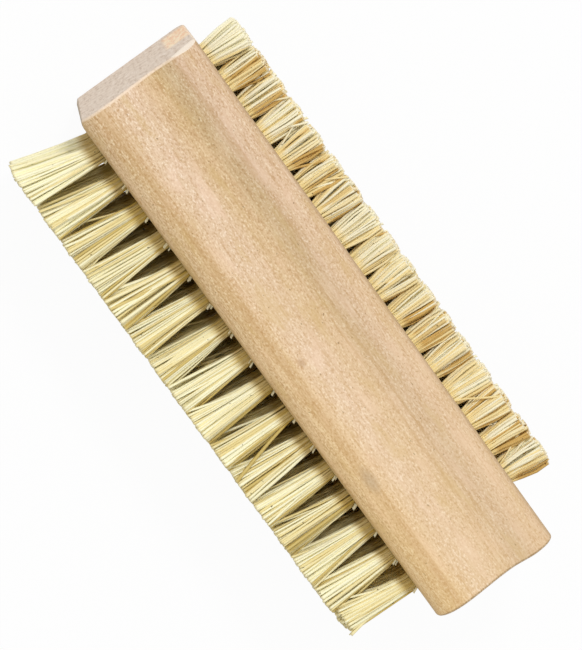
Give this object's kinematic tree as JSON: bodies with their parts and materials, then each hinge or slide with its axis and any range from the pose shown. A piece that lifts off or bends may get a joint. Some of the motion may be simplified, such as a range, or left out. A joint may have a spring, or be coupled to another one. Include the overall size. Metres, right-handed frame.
{
  "type": "nail brush",
  "caption": "Double-sided nail brush: a moulded beech block with a finger groove, long plant-fibre tufts on one face and short ones on the opposite face.",
  "frame": {"origin": "middle of the block's flat back, which the brush lies on", "axes": "+X along the block, +Z out of the grooved grip side, -Y along the long bristles and +Y along the short ones"},
  "size_m": [0.095, 0.0415, 0.03],
  "materials": {
    "beech_block": "bare sanded beech",
    "plant_fibre": "stiff straw-coloured plant fibre",
    "staple_wire": "plain flat anchor wire"
  },
  "bodies": {
    "root": {"handle_block": "beech_block", "long_tufts_back": "plant_fibre", "long_tufts_front": "plant_fibre", "short_tufts": "plant_fibre", "long_staple_01": "staple_wire", "long_staple_02": "staple_wire", "long_staple_03": "staple_wire", "long_staple_04": "staple_wire", "long_staple_05": "staple_wire", "long_staple_06": "staple_wire", "long_staple_07": "staple_wire", "long_staple_08": "staple_wire", "long_staple_09": "staple_wire", "long_staple_10": "staple_wire", "long_staple_11": "staple_wire", "long_staple_12": "staple_wire", "long_staple_13": "staple_wire", "long_staple_14": "staple_wire", "long_staple_15": "staple_wire", "long_staple_16": "staple_wire", "short_staple_01": "staple_wire", "short_staple_02": "staple_wire", "short_staple_03": "staple_wire", "short_staple_04": "staple_wire", "short_staple_05": "staple_wire", "short_staple_06": "staple_wire", "short_staple_07": "staple_wire", "short_staple_08": "staple_wire", "short_staple_09": "staple_wire", "short_staple_10": "staple_wire", "short_staple_11": "staple_wire", "short_staple_12": "staple_wire", "short_staple_13": "staple_wire", "short_staple_14": "staple_wire", "short_staple_15": "staple_wire", "short_staple_16": "staple_wire", "short_staple_17": "staple_wire"}
  },
  "joints": []
}
